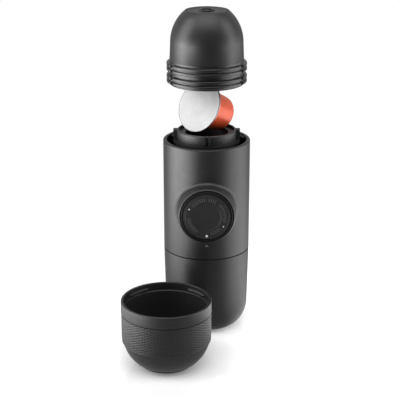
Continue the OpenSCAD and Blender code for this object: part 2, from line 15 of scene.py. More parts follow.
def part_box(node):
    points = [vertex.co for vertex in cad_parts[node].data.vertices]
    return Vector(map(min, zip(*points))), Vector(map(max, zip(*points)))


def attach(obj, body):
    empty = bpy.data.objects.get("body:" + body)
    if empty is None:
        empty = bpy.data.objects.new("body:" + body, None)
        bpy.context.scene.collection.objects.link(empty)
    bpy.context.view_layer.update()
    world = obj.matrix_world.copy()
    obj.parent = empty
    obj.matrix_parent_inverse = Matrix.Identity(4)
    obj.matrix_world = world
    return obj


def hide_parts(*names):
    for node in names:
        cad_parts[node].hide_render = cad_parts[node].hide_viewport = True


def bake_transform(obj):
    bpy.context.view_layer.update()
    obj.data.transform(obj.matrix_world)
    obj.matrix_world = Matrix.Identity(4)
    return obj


MM = 0.001
SEGMENTS = 256
FILLET_STEPS = 5
CREASE = 35

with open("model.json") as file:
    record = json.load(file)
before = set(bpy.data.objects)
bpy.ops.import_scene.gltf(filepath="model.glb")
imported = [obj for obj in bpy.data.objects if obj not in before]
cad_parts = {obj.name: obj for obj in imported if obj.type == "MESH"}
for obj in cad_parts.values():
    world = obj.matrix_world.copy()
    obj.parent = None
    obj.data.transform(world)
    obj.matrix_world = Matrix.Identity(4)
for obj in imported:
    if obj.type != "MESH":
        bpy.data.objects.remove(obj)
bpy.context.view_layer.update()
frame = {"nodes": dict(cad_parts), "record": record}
nodes = frame["nodes"]


# ---------------------------------------------------------------- outlines and meshes


def low(node):
    """Lowest corner of a CAD node, in millimetres."""
    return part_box(node)[0] / MM


def high(node):
    """Highest corner of a CAD node, in millimetres."""
    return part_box(node)[1] / MM


def smooth_step(x, a, b):
    """0 below a, 1 above b, and a smooth rise between."""
    t = min(1.0, max(0.0, (x - a) / (b - a)))
    return t * t * (3 - 2 * t)


def arc(centre, radii, start, end, steps):
    """Points (r, z) along an ellipse between two angles in degrees."""
    (r, z), (wide, tall) = centre, radii
    angles = [math.radians(start + (end - start) * i / steps) for i in range(steps + 1)]
    return [(r + wide * math.cos(a), z + tall * math.sin(a)) for a in angles]


def rounded(corners):
    """Closed outline through the corners (r, z) or (r, z, fillet radius)."""
    outline = []
    for i, corner in enumerate(corners):
        here = Vector(corner[:2])
        if len(corner) == 2:
            outline.append(tuple(here))
            continue
        before = Vector(corners[i - 1][:2]) - here
        after = Vector(corners[(i + 1) % len(corners)][:2]) - here
        half = before.angle(after) / 2
        back = corner[2] / math.tan(half)
        middle = (before.normalized() + after.normalized()).normalized()
        centre = here + middle * (corner[2] / math.sin(half))
        a = here + before.normalized() * back - centre
        b = here + after.normalized() * back - centre
        start = math.atan2(a.y, a.x)
        turn = (math.atan2(b.y, b.x) - start + math.pi) % (2 * math.pi) - math.pi
        for k in range(FILLET_STEPS + 1):
            t = start + turn * k / FILLET_STEPS
            outline.append((centre.x + corner[2] * math.cos(t), centre.y + corner[2] * math.sin(t)))
    return outline


def upright(x, y, z):
    """Placement of a turned piece with its axis along +Z."""
    return Matrix.Translation(Vector((x, y, z)) * MM)


def along_knob(y):
    """Placement of a turned piece with its axis along the knob's, outwards, from a plane at -y."""
    return Matrix.Translation(Vector((0, -y, KNOB_Z)) * MM) @ Matrix.Rotation(math.pi / 2, 4, "X")


def finish_mesh(mesh, crease):
    """Outward normals, smooth faces and sharp edges above the crease angle."""
    bm = bmesh.new()
    bm.from_mesh(mesh)
    bmesh.ops.remove_doubles(bm, verts=bm.verts, dist=1e-7)
    bmesh.ops.recalc_face_normals(bm, faces=bm.faces)
    bm.to_mesh(mesh)
    bm.free()
    mesh.shade_smooth()
    mesh.set_sharp_from_angle(angle=math.radians(crease))


def make(name, points, faces, material, place=None, crease=CREASE):
    """Object from points in millimetres, moved into place in its own mesh."""
    mesh = bpy.data.meshes.new(name)
    mesh.from_pydata([Vector(p) * MM for p in points], [], faces)
    if place is not None:
        mesh.transform(place)
    finish_mesh(mesh, crease)
    mesh.materials.append(material)
    piece = bpy.data.objects.new(name, mesh)
    bpy.context.scene.collection.objects.link(piece)
    return piece


def band(a, b, count):
    """Faces between two rings of count points each, which start at the points a and b."""
    return [(a + k, a + (k + 1) % count, b + (k + 1) % count, b + k) for k in range(count)]


def turned(name, outline, material, place, shape=None, segments=SEGMENTS, crease=CREASE):
    """Closed outline (r, z) turned about an axis. shape(r, z, angle, i) may move the radius."""
    points, faces, rings = [], [], []
    for i, (r, z) in enumerate(outline):
        if abs(r) < 1e-6:
            rings.append([len(points)] * segments)
            points.append((0, 0, z))
            continue
        rings.append(list(range(len(points), len(points) + segments)))
        for k in range(segments):
            angle = 2 * math.pi * k / segments
            radius = shape(r, z, angle, i) if shape else r
            points.append((radius * math.cos(angle), radius * math.sin(angle), z))
    for i, ring in enumerate(rings):
        after = rings[(i + 1) % len(rings)]
        for k in range(segments):
            m = (k + 1) % segments
            corners = list(dict.fromkeys((ring[k], ring[m], after[m], after[k])))
            if len(corners) > 2:
                faces.append(corners)
    return make(name, points, faces, material, place, crease)


def tube(name, path, radius, material, sides):
    """Round wire along a path of points in millimetres, with flat ends."""
    points, faces = [], []
    normal = Vector((0, 0, 1))
    for i, here in enumerate(path):
        before = path[max(i - 1, 0)]
        after = path[min(i + 1, len(path) - 1)]
        along = (Vector(after) - Vector(before)).normalized()
        normal = (normal - along * normal.dot(along)).normalized()
        across = along.cross(normal)
        for k in range(sides):
            a = 2 * math.pi * k / sides
            points.append(Vector(here) + (normal * math.cos(a) + across * math.sin(a)) * radius)
    for i in range(len(path) - 1):
        faces += band(i * sides, (i + 1) * sides, sides)
    faces.append(tuple(range(sides)))
    faces.append(tuple(range(len(points) - sides, len(points))))
    return make(name, points, faces, material)


def replace(piece, body, slot, *stands_for):
    """The piece rides on the body and stands for the CAD nodes, which it hides. The slot is not
    used.
    """
    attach(piece, body)
    if stands_for:
        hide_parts(*stands_for)
    return piece


# ---------------------------------------------------------------- materials


class Tree:
    """Node tree of a material or the world, with short calls for the nodes that it uses."""

    def __init__(self, owner):
        self.nodes = owner.node_tree.nodes
        self.links = owner.node_tree.links
        self.coordinates = self.add("TexCoord").outputs

    def add(self, kind):
        return self.nodes.new("ShaderNode" + kind)

    def link(self, a, b):
        self.links.new(a, b)

    def feed(self, socket, value):
        """Link or plain number on a socket."""
        if isinstance(value, bpy.types.NodeSocket):
            self.link(value, socket)
        else:
            socket.default_value = value

    def math(self, operation, *values):
        """Sum, product or other operation on sockets or numbers."""
        node = self.add("Math")
        node.operation = operation
        for socket, value in zip(node.inputs, values):
            self.feed(socket, value)
        return node.outputs["Value"]

    def ramp(self, value, start, end, a, b, kind="SMOOTHSTEP"):
        """Change from a, where the value is start, to b, where it is end."""
        node = self.add("MapRange")
        node.interpolation_type = kind
        node.inputs["From Min"].default_value = start
        node.inputs["From Max"].default_value = end
        node.inputs["To Min"].default_value = a
        node.inputs["To Max"].default_value = b
        self.link(value, node.inputs["Value"])
        return node.outputs["Result"]

    def split(self, vector):
        """X, Y and Z of a vector."""
        node = self.add("SeparateXYZ")
        self.link(vector, node.inputs["Vector"])
        return [node.outputs[axis] for axis in "XYZ"]

    def emission(self, strength):
        """White light of its own."""
        node = self.add("Emission")
        self.link(strength, node.inputs["Strength"])
        return node.outputs["Emission"]

    def mix(self, factor, a, b):
        """Shader a, and b where the factor is 1."""
        node = self.add("MixShader")
        self.link(factor, node.inputs["Fac"])
        self.link(a, node.inputs[1])
        self.link(b, node.inputs[2])
        return node.outputs["Shader"]


class Shader(Tree):
    """Tree of a new material, around its Principled BSDF."""

    NOISE_RANGE = (0.3, 0.7)

    def __init__(self, name):
        self.material = bpy.data.materials.new(name)
        self.material.use_nodes = True
        super().__init__(self.material)
        self.bsdf = self.nodes["Principled BSDF"]
        self.place = self.coordinates["Object"]

    def set(self, **values):
        for name, value in values.items():
            self.bsdf.inputs[name.replace("_", " ")].default_value = value

    def noise(self, size_mm, detail, stretch=(1, 1, 1), rough=0.5):
        """Noise whose blots are about size_mm across, drawn out along an axis by stretch."""
        mapping = self.add("Mapping")
        mapping.inputs["Scale"].default_value = [1 / s for s in stretch]
        self.link(self.place, mapping.inputs["Vector"])
        node = self.add("TexNoise")
        node.inputs["Scale"].default_value = 1 / (size_mm * MM)
        node.inputs["Detail"].default_value = detail
        node.inputs["Roughness"].default_value = rough
        self.link(mapping.outputs["Vector"], node.inputs["Vector"])
        return node.outputs["Fac"]

    def remap(self, value, low_value, high_value):
        """The middle of a noise's range, spread from low_value to high_value."""
        return self.ramp(value, *self.NOISE_RANGE, low_value, high_value, kind="LINEAR")

    def colour(self, value, a, b):
        """Base colour between two colours, as the noise goes from low to high."""
        node = self.add("Mix")
        node.data_type = "RGBA"
        node.inputs["A"].default_value = (*a, 1)
        node.inputs["B"].default_value = (*b, 1)
        self.link(self.remap(value, 0, 1), node.inputs["Factor"])
        self.link(node.outputs["Result"], self.bsdf.inputs["Base Color"])

    def roughness(self, value, low_value, high_value):
        """Roughness between two values, as the noise goes from low to high."""
        self.link(self.remap(value, low_value, high_value), self.bsdf.inputs["Roughness"])

    def bump(self, value, depth_mm, after=None):
        """Relief of about depth_mm, on top of another relief if one is given."""
        node = self.add("Bump")
        node.inputs["Strength"].default_value = 1.0
        node.inputs["Distance"].default_value = depth_mm * MM
        self.link(value, node.inputs["Height"])
        if after is not None:
            self.link(after, node.inputs["Normal"])
        self.link(node.outputs["Normal"], self.bsdf.inputs["Normal"])
        return node.outputs["Normal"]


def shade(colour, factor):
    return tuple(c * factor for c in colour)


def moulded(name, colour, rough=0.42, grain_mm=0.35, depth_mm=0.012, ior=1.5, polished=None):
    """Moulded plastic: fine spark-eroded grain, slight unevenness in gloss and colour.
    Below the height of polished, in metres, the roughness is lower by its second number.
    """
    s = Shader(name)
    s.set(IOR=ior)
    s.colour(s.noise(9, 3), shade(colour, 0.92), shade(colour, 1.08))
    uneven = s.remap(s.noise(3.5, 4), rough - 0.03, rough + 0.03)
    if polished:
        height, less = polished
        up = s.split(s.place)[2]
        uneven = s.math("SUBTRACT", uneven, s.ramp(up, height, height + MM, less, 0.0))
    s.link(uneven, s.bsdf.inputs["Roughness"])
    s.bump(s.noise(grain_mm, 2), depth_mm)
    return s.material


def rubber(name, colour, rough=0.7):
    """Soft moulded rubber or silicone with a dusty, slightly pebbled surface."""
    s = Shader(name)
    s.set(IOR=1.45)
    s.colour(s.noise(2.5, 5), shade(colour, 0.85), shade(colour, 1.15))
    s.roughness(s.noise(0.8, 3), rough - 0.08, rough + 0.08)
    s.bump(s.noise(0.5, 3), 0.03)
    return s.material


def brushed(name, colour, rough=0.3, along=(1, 1, 12)):
    """Metal with fine lines drawn out along one axis."""
    s = Shader(name)
    s.set(Metallic=1.0)
    lines = s.noise(0.25, 3, along)
    s.colour(s.noise(6, 3), shade(colour, 0.9), shade(colour, 1.05))
    s.roughness(lines, rough - 0.08, rough + 0.1)
    s.bump(lines, 0.008)
    return s.material


def lacquered(name, colour, rough):
    """Deep-drawn aluminium under an opaque coloured lacquer."""
    s = Shader(name)
    s.set(Metallic=0.12, Coat_Weight=0.08, Coat_Roughness=0.2)
    s.colour(s.noise(8, 2), shade(colour, 0.96), shade(colour, 1.03))
    s.roughness(s.noise(4, 2), rough - 0.03, rough + 0.03)
    s.bump(s.noise(5, 1), 0.03)
    return s.material


def foil_metal(name, colour, rough):
    """Thin rolled foil: soft dents over a very fine emboss."""
    s = Shader(name)
    s.set(Metallic=0.25)
    s.colour(s.noise(7, 4), shade(colour, 0.95), shade(colour, 1.03))
    s.roughness(s.noise(2.2, 4), rough - 0.06, rough + 0.08)
    dents = s.bump(s.noise(4.5, 2), 0.14)
    s.bump(s.noise(0.6, 2), 0.012, dents)
    return s.material


def clear_pipe(name, colour):
    """Milky flexible pipe."""
    s = Shader(name)
    s.set(Transmission_Weight=0.35, IOR=1.45)
    s.colour(s.noise(4, 2), shade(colour, 0.95), colour)
    s.roughness(s.noise(2, 2), 0.25, 0.4)
    s.bump(s.noise(1.5, 2), 0.02)
    return s.material


def ground_coffee(name):
    """Dark grains of ground coffee."""
    s = Shader(name)
    grains = s.noise(0.7, 4, rough=0.7)
    s.colour(grains, (0.02, 0.008, 0.003), (0.11, 0.05, 0.022))
    s.set(Roughness=0.85)
    s.bump(grains, 0.3)
    return s.material


def printed(name, colour, rough=0.45):
    """Small printed or inlaid marks."""
    s = Shader(name)
    s.colour(s.noise(0.4, 3), shade(colour, 0.9), shade(colour, 1.05))
    s.roughness(s.noise(0.6, 2), rough - 0.05, rough + 0.05)
    s.bump(s.noise(0.3, 2), 0.01)
    return s.material


BODY_GREY = (0.0115, 0.0115, 0.012)
POLISHED_SKIRT = (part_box("outlet_dome")[0].z + 0.0162, 0.1)
materials = {
    "shell_plastic": moulded("shell_plastic", BODY_GREY, 0.4),
    "dome_plastic": moulded("dome_plastic", BODY_GREY, 0.4, 0.35, 0.004, polished=POLISHED_SKIRT),
    "tank_plastic": moulded("tank_plastic", BODY_GREY, 0.4),
    "cup_plastic": moulded("cup_plastic", (0.0155, 0.0155, 0.016), 0.4),
    "chamber_plastic": moulded("chamber_plastic", (0.015, 0.015, 0.0152)),
    "frame_plastic": moulded("frame_plastic", (0.05, 0.05, 0.052), 0.5, 0.5, 0.02),
    "knob_plastic": moulded("knob_plastic", (0.004, 0.004, 0.0041), 0.5, 0.4, 0.006, 1.3),
    "knob_disc": moulded("knob_disc", (0.0105, 0.0105, 0.011), 0.5, 0.3),
    "natural_plastic": moulded("natural_plastic", (0.62, 0.6, 0.54), 0.45, 0.5, 0.02),
    "clear_tube": clear_pipe("clear_tube", (0.66, 0.69, 0.7)),
    "black_rubber": rubber("black_rubber", (0.012, 0.012, 0.012)),
    "silicone": rubber("silicone", (0.38, 0.09, 0.045)),
    "flap_silicone": rubber("flap_silicone", (0.5, 0.35, 0.25)),
    "steel": brushed("steel", (0.6, 0.61, 0.62)),
    "orange_aluminium": lacquered("orange_aluminium", (0.82, 0.11, 0.035), 0.4),
    "foil": foil_metal("foil", (0.53, 0.53, 0.53), 0.5),
    "coffee": ground_coffee("coffee"),
}
mark_white = printed("mark_white", (0.75, 0.75, 0.73))
bare_edge = brushed("bare_edge", (0.2, 0.2, 0.2), 0.38)
mark_grey = printed("mark_grey", (0.15, 0.15, 0.152))

for row in frame["record"]["subparts"]:
    node = nodes[row["node"]]
    node.data.materials.clear()
    node.data.materials.append(materials[row["material_slot"]])


# ---------------------------------------------------------------- camera, fitted to the photograph

CAMERA_PLACE = (-4.56, -768.3, 356.4)
CAMERA_DOWN = 19.02

camera = bpy.data.objects.new("camera", bpy.data.cameras.new("camera"))
bpy.context.scene.collection.objects.link(camera)
camera.location = Vector(CAMERA_PLACE) * MM
camera.rotation_euler = (math.radians(90 - CAMERA_DOWN), 0, 0)
camera.data.sensor_width = 36
camera.data.lens = 104.04
camera.data.clip_start = 0.05
camera.data.clip_end = 30
bpy.context.scene.camera = camera


# ---------------------------------------------------------------- body

KNOB_Z = (low("knob_cap").z + high("knob_cap").z) / 2
BODY_R = high("body_shell").x
COLLAR_R = 19.75


def shell_y(x):
    """How far the round shell stands out towards the knob at a place across it."""
    return math.sqrt(max(BODY_R**2 - x**2, 0))


def collar_fillet():
    """Concave fillet between the shell and the raised collar round the knob."""
    reach, sink, root, steps, turns = 2.8, 0.04, 1.0, 12, 240
    points, faces = [], []
    for k in range(turns):
        a = 2 * math.pi * k / turns
        for i in range(steps + 1):
            t = math.pi / 2 * i / steps
            r = COLLAR_R - sink + reach * (1 - math.sin(t))
            x, z = r * math.cos(a), r * math.sin(a)
            y = shell_y(x) - sink + reach * (1 - math.cos(t))
            points.append((x, -y, KNOB_Z + z))
        x, z = (COLLAR_R - root) * math.cos(a), (COLLAR_R - root) * math.sin(a)
        points.append((x, -shell_y(x) + root, KNOB_Z + z))
    wide = steps + 2
    for k in range(turns):
        faces += band(k * wide, (k + 1) % turns * wide, wide)
    piece = make("collar_fillet", points, faces, materials["shell_plastic"])
    return replace(piece, "main_body", "shell_plastic")


def shell_mark():
    """Small raised triangle under the knob that its lowest dot points to."""
    half_wide, tall, top, out, root, steps = 1.5, 1.9, 69.8, 0.15, 0.3, 6
    points, faces = [], []
    for depth in (out, -root):
        for i in range(steps + 1):
            t = i / steps
            for side in (-1, 1):
                x = side * half_wide * (1 - t)
                points.append((x, -shell_y(x) - depth, top - tall * (1 - t)))
    count = 2 * (steps + 1)
    for i in range(steps):
        a = 2 * i
        faces.append((a, a + 1, a + 3, a + 2))
        faces.append((a + count, a + count + 2, a + count + 3, a + count + 1))
        for s in (0, 1):
            faces.append((a + s, a + s + 2, a + s + 2 + count, a + s + count))
    faces.append((0, 1, 1 + count, count))
    piece = make("shell_mark", points, faces, mark_grey)
    return replace(piece, "main_body", "shell_plastic")


# ---------------------------------------------------------------- knob

KNOB_R = high("knob_face_disc").x
KNOB_FACE = -low("knob_face_disc").y
DOTS = ((-90, 13.5, 0.8), (-31, 13.1, 0.45), (155, 13.1, 0.48))
TICK_ARCS = ((62, 82), (98, 140), (-14, 44), (186, 236), (-76, -46))


def knob_disc():
    """Disc in the knob's face: a hair line cut near its edge and a dish in the middle."""
    radius = KNOB_R - 0.05
    back = -high("knob_face_disc").y
    proud = KNOB_FACE - back
    cut = proud - 0.16
    outline = rounded([
        (0, 0), (radius, 0), (radius, proud, 0.3), (15.2, proud, 0.1), (15.0, cut, 0.1),
        (14.7, cut, 0.1), (14.5, proud, 0.1), (10.3, proud, 1.2), (8.9, proud - 0.4, 1.6),
        (3.0, proud - 0.5, 3), (0, proud - 0.52),
    ])
    piece = turned("knob_disc", outline, materials["knob_disc"], along_knob(back))
    return replace(piece, "knob", "knob_disc", "knob_face_disc")


def knob_dots():
    """Three white inlaid dots: angle, distance from the middle and radius."""
    deep, proud, edge = 0.25, 0.06, 0.04
    for i, (angle, ring, r) in enumerate(DOTS):
        outline = rounded([(0, -deep), (r, -deep), (r, proud, edge), (0, proud)])
        a = math.radians(angle)
        place = Matrix.Translation(Vector((ring * math.cos(a), 0, ring * math.sin(a))) * MM)
        place = place @ along_knob(KNOB_FACE)
        piece = turned(f"knob_dot_{i + 1}", outline, mark_white, place, segments=40)
        replace(piece, "knob", "knob_disc")


def knob_ticks():
    """Faint raised ticks round the face, like those of a plain dial."""
    inner, outer, half, out, root, step = 11.0, 13.3, 0.13, 0.06, 0.2, 6.5
    quads = ((0, 1, 2, 3), (4, 5, 6, 7), (0, 1, 5, 4), (1, 2, 6, 5), (2, 3, 7, 6), (3, 0, 4, 7))
    points, faces = [], []
    for start, end in TICK_ARCS:
        count = int((end - start) / step) + 1
        for i in range(count):
            a = math.radians(start + (end - start) * i / max(count - 1, 1))
            along = Vector((math.cos(a), 0, math.sin(a)))
            across = Vector((-math.sin(a), 0, math.cos(a)))
            base = len(points)
            for y in (-KNOB_FACE - out, -KNOB_FACE + root):
                for r, s in ((inner, -1), (outer, -1), (outer, 1), (inner, 1)):
                    p = along * r + across * half * s
                    points.append((p.x, y, KNOB_Z + p.z))
            faces += [tuple(base + q for q in quad) for quad in quads]
    piece = make("knob_ticks", points, faces, mark_grey)
    return replace(piece, "knob", "knob_disc")


# ---------------------------------------------------------------- outlet head

HEAD_Z = low("outlet_dome").z
HEAD_H = high("outlet_dome").z - HEAD_Z
CREST_R = high("outlet_dome").x
PLAIN_R = CREST_R - 2.0
DOME_R = 24.7
DOME_DRAFT = 0.5
DOME_SPRING = 28.0
OUTLET_R = 13.5
RIDGE_H = 2.6
RIDGES = (1.2, 4.4, 9.4, 12.6)
RIDGE_POWER = 4.5
WEB = 0.45
SLOT_ANGLES = (90, 208, 332)
SLOT_EDGE = (0.8, 2.1)


def dome_profile():
    """Outline of the dome: outside from the skirt to the recess, then back down inside.
    The second value says how many of its points are outside.
    """
    neck, shoulder, edge, recess, wall = 16.6, 1.1, 0.35, 0.8, 2.0
    bore, skirt_ri, skirt_steps = 5.3, 23.3, 150
    rise = (HEAD_H - DOME_SPRING) / math.sqrt(1 - ((OUTLET_R + 1.0) / DOME_R) ** 2)
    end = math.degrees(math.asin((HEAD_H - DOME_SPRING) / rise))
    inner_rise, inner_top = rise - wall, HEAD_H - recess - wall
    inner_end = math.degrees(math.asin((inner_top - DOME_SPRING) / inner_rise))
    tall = neck - shoulder - edge
    skirt = [(PLAIN_R, edge + tall * i / skirt_steps) for i in range(skirt_steps + 1)]
    top_r = DOME_R + DOME_DRAFT
    outside = [(skirt_ri + 0.3, 0), (PLAIN_R - edge, 0)] + skirt
    outside += arc((top_r, neck - shoulder), (PLAIN_R - top_r, shoulder), 0, 90, 6)[1:]
    outside += arc((0, DOME_SPRING), (DOME_R, rise), 0, end, 40)
    lip = rounded([(OUTLET_R + 2.2, HEAD_H - 1.3), (OUTLET_R + 0.4, HEAD_H, 0.5),
                   (OUTLET_R, HEAD_H - recess, 0.15), (bore, HEAD_H - recess)])[1:]
    inside = [(bore, inner_top)]
    inside += arc((0, DOME_SPRING), (DOME_R - wall, inner_rise), inner_end, 0, 16)
    inside += [(DOME_R - wall, 21.9), (skirt_ri, 20.3), (skirt_ri, 0.3)]
    return outside + lip + inside, len(outside)


def outlet_dome():
    """Dome with two pairs of rounded thread ridges, cut by upright slots."""
    outline, outside = dome_profile()

    def shape(r, z, angle, i):
        if i >= outside or r < PLAIN_R - 0.01:
            return r
        bump = 0.0
        for start in RIDGES:
            t = (z - start) / RIDGE_H
            if 0 < t < 1:
                bump = max(bump, (1 - abs(2 * t - 1) ** RIDGE_POWER) ** 0.5)
        for pair in (0, 2):
            if RIDGES[pair] + RIDGE_H / 2 < z < RIDGES[pair + 1] + RIDGE_H / 2:
                bump = max(bump, WEB)
        gap = min(abs((math.degrees(angle) - s + 180) % 360 - 180) for s in SLOT_ANGLES)
        away = math.radians(gap) * CREST_R
        return r + (CREST_R - PLAIN_R) * bump * smooth_step(away, *SLOT_EDGE)

    plastic, place = materials["dome_plastic"], upright(0, 0, HEAD_Z)
    piece = turned("dome", outline, plastic, place, shape, segments=384, crease=50)
    return replace(piece, "outlet_head", "dome_plastic", "outlet_dome")


# ---------------------------------------------------------------- capsule

LEAN = Vector((-5.3, -2.0, 160.5))
LEAN_TURN = 224.4
LEAN_TILT = 24.0
FLANGE_R = 18.5
CAPSULE_H = 28.0
CAPSULE_TURNS = 160


def leaning():
    """Placement of the capsule: drawn foil down at z 0, body up."""
    turn = Matrix.Rotation(math.radians(LEAN_TURN - 180), 4, "Z")
    tip = Matrix.Rotation(math.radians(90 + LEAN_TILT), 4, "Y")
    return Matrix.Translation(LEAN * MM) @ turn @ tip


def capsule():
    """Rolled flange, tapering wall with a soft shoulder, and the rounded end."""
    end_r, end_h, end_low, skin, wall_top = 12, 6.5, 12, 0.3, 20.8
    end = arc((0, CAPSULE_H - end_h), (end_r, end_h), end_low, 90, 20)
    inner_end = arc((0, CAPSULE_H - end_h), (end_r - skin, end_h - skin), 90, end_low, 20)
    rim = rounded([(FLANGE_R - 1.0, 0.1), (FLANGE_R, 0.1, 0.45), (FLANGE_R, 1.0, 0.44),
                   (FLANGE_R - 1.3, 1.0, 0.3), (FLANGE_R - 1.6, 0.55, 0.2), (14.6, 0.5, 0.3),
                   (14.1, 1.1, 0.3)])
    outline = [(14.0, 0.12)] + rim + [(13.98, 3.2), (13.9, 3.5), (13.5, 3.8), (12.1, wall_top)]
    outline += end + inner_end + [(12.1 - skin, wall_top), (13.6, 1.2)]
    metal = materials["orange_aluminium"]
    piece = turned("capsule_metal", outline, metal, leaning(), segments=CAPSULE_TURNS)
    return replace(piece, "capsule", "orange_aluminium", "capsule_cup")


def foil_lid():
    """Foil sealed onto the flange: a pressed ring and shallow crumples."""
    radius, inset, rings, turns = FLANGE_R - 0.45, 0.05, 40, CAPSULE_TURNS
    seam_r, seam_wide, seam_high, crumple = 15.4, 0.45, 0.09, 0.07

    def relief(r, a):
        seam = seam_high * math.exp(-(((r - seam_r) / seam_wide) ** 2))
        soft = crumple * math.sin(2.1 * a + 0.4 * r) * math.sin(0.38 * r + 1.1)
        return seam + soft * smooth_step(r, 0.5, 5) * (1 - smooth_step(r, 12.5, 14.5)) - inset

    angles = [2 * math.pi * k / turns for k in range(turns)]
    points = [(0, 0, -inset)]
    for i in range(1, rings + 1):
        r = radius * i / rings
        points += [(r * math.cos(a), r * math.sin(a), relief(r, a)) for a in angles]
    points += [(radius * math.cos(a), radius * math.sin(a), 0.12) for a in angles]
    points.append((0, 0, 0.3))
    faces = [(0, 1 + (k + 1) % turns, 1 + k) for k in range(turns)]
    for i in range(rings):
        faces += band(1 + i * turns, 1 + (i + 1) * turns, turns)
    back = 1 + rings * turns
    faces += [(back + k, back + (k + 1) % turns, len(points) - 1) for k in range(turns)]
    piece = make("foil_lid", points, faces, materials["foil"], leaning())
    return replace(piece, "capsule", "foil", "capsule_foil")


def flange_edge():
    """Bare metal edge of the rolled flange."""
    outer = FLANGE_R + 0.04
    outline = rounded([(outer - 0.45, -0.1), (outer, -0.1, 0.25), (outer, 1.04, 0.3),
                       (outer - 0.9, 1.04), (outer - 0.9, 0.5), (outer - 0.45, 0.5)])
    piece = turned("flange_edge", outline, bare_edge, leaning(), segments=CAPSULE_TURNS)
    return replace(piece, "capsule", "foil")


# ---------------------------------------------------------------- tank and cup

TANK_TOP = high("water_tank").z


def tank():
    """Tank with one smooth rounded corner, its rim and its neck."""
    foot, foot_ring, low_r, corner_h, wall = 18.0, 2.6, 29.0, 17.5, 2.0
    seam, neck_r, neck_ri, straight = 57.8, 27.3, 26.0, 30
    corner = arc((foot - 1.0, corner_h), (low_r - foot + 1.0, corner_h), -86, 0, 30)
    inner = arc((foot - wall, corner_h), (low_r - foot, corner_h - wall), 0, -90, 16)
    outline = [(0, 0.5), (foot - foot_ring - 0.6, 0.5), (foot - foot_ring, 0.0), (foot - 0.2, 0.0)]
    outline += corner
    outline += rounded([(low_r, straight), (BODY_R, seam, 0.15), (neck_r, seam),
                        (neck_r, TANK_TOP, 0.3), (neck_ri, TANK_TOP, 0.3), (neck_ri, 50),
                        (BODY_R - wall, 48), (low_r - wall, straight)])[1:]
    outline += inner + [(0, wall)]
    piece = turned("tank", outline, materials["tank_plastic"], upright(0, 0, 0))
    return replace(piece, "tank", "tank_plastic", "water_tank")


CUP = (low("cup") + high("cup")) / 2
CUP_R = 30.0
CUP_H = high("cup").z
BAND = CUP_H - 8.2
KNURL_LOW = 18.0
KNURL_STEP = 1.75
KNURL_AROUND = 43
KNURL_DEPTH = 0.25
KNURL_SHARP = 2.4
KNURL_ROWS = 10
KNURL_COLUMNS = 14


def cup():
    """Cup with a smooth rim band, a diamond-knurled grip, a smooth bowl and four inner lugs."""
    foot, corner_r, corner_h, step, taper, groove = 17.5, 17.8, 22.5, 0.5, 0.15, 0.55
    inner_r, ledge, floor_z = CUP_R - 1.7, 0.6, 2.7
    lug_turn, lug_wide, lug_in, lug_z, lug_step = 28, 32, 1.2, CUP_H - 4.3, 0.15

    def side(z):
        """Radius of the grip at a height."""
        return CUP_R - taper * smooth_step(-z, -corner_h, -KNURL_LOW)

    angle_low = -math.degrees(math.acos((foot + 0.4 - CUP_R + corner_r) / corner_r))
    bowl = arc((CUP_R - corner_r, corner_h), (corner_r, corner_h), angle_low, 0, 60)
    count = round((BAND - 0.6 - KNURL_LOW) / KNURL_STEP)
    knurl_top = KNURL_LOW + count * KNURL_STEP
    outside = [(0, 0.8), (foot - 2, 0.8), (foot - 1.6, 0.0), (foot - 0.1, 0.0)]
    outside += [(r - step * smooth_step(z, 1, 6), z) for r, z in bowl if z < KNURL_LOW - 1]
    low_r = side(KNURL_LOW)
    outside += [(low_r - step, KNURL_LOW - 0.5), (low_r - 0.1, KNURL_LOW - 0.35)]
    first = len(outside)
    grip = [KNURL_LOW + KNURL_STEP * i / KNURL_ROWS for i in range(count * KNURL_ROWS + 1)]
    outside += [(side(z), z) for z in grip]
    last = len(outside)
    outside += rounded([
        (CUP_R, knurl_top + 0.2), (CUP_R, BAND - 0.35, 0.15), (CUP_R - groove, BAND - 0.25, 0.1),
        (CUP_R - groove, BAND + 0.25, 0.1), (CUP_R + 0.1, BAND + 0.35, 0.1), (CUP_R, BAND + 4, 2),
        (CUP_R, CUP_H, 0.5), (inner_r, CUP_H, 0.35), (inner_r, lug_z),
    ])[1:-1]
    lugs = [(inner_r, lug_z + 1.9 - lug_step * i) for i in range(14)]
    inside = rounded([(inner_r, lug_z), (inner_r, CUP_H - 5.5, 0.2),
                      (inner_r - ledge, CUP_H - 5.75, 0.25), (inner_r - ledge, CUP_H - 7)])[1:-1]
    inside += arc((inner_r - 14 - ledge, corner_h), (14, corner_h - floor_z), 0, -90, 24)
    outline = outside + lugs + inside + [(0, floor_z)]
    lug_from = len(outside)
    lug_to = lug_from + len(lugs)

    def shape(r, z, angle, i):
        if first <= i < last:
            around = angle * KNURL_AROUND / (2 * math.pi)
            up = (z - KNURL_LOW) / KNURL_STEP
            pad = 1.0
            for cut in ((up + around) % 1, (up - around) % 1):
                pad *= min(1.0, KNURL_SHARP * min(cut, 1 - cut))
            return r - KNURL_DEPTH * (1 - pad)
        if lug_from <= i < lug_to:
            degrees = (math.degrees(angle) - lug_turn) % 90
            wide = smooth_step(degrees, 0, 1.5)
            wide *= 1 - smooth_step(degrees, lug_wide - 1.5, lug_wide)
            tall = smooth_step(z, lug_z + 0.2, lug_z + 0.6)
            tall *= 1 - smooth_step(z, lug_z + 0.9, lug_z + 1.4)
            return r - lug_in * wide * tall
        return r

    place, segments = upright(CUP.x, CUP.y, 0), KNURL_AROUND * KNURL_COLUMNS
    piece = turned("drinking_cup", outline, materials["cup_plastic"], place, shape, segments, 40)
    return replace(piece, "drinking_cup", "cup_plastic", "cup")


# ---------------------------------------------------------------- spring


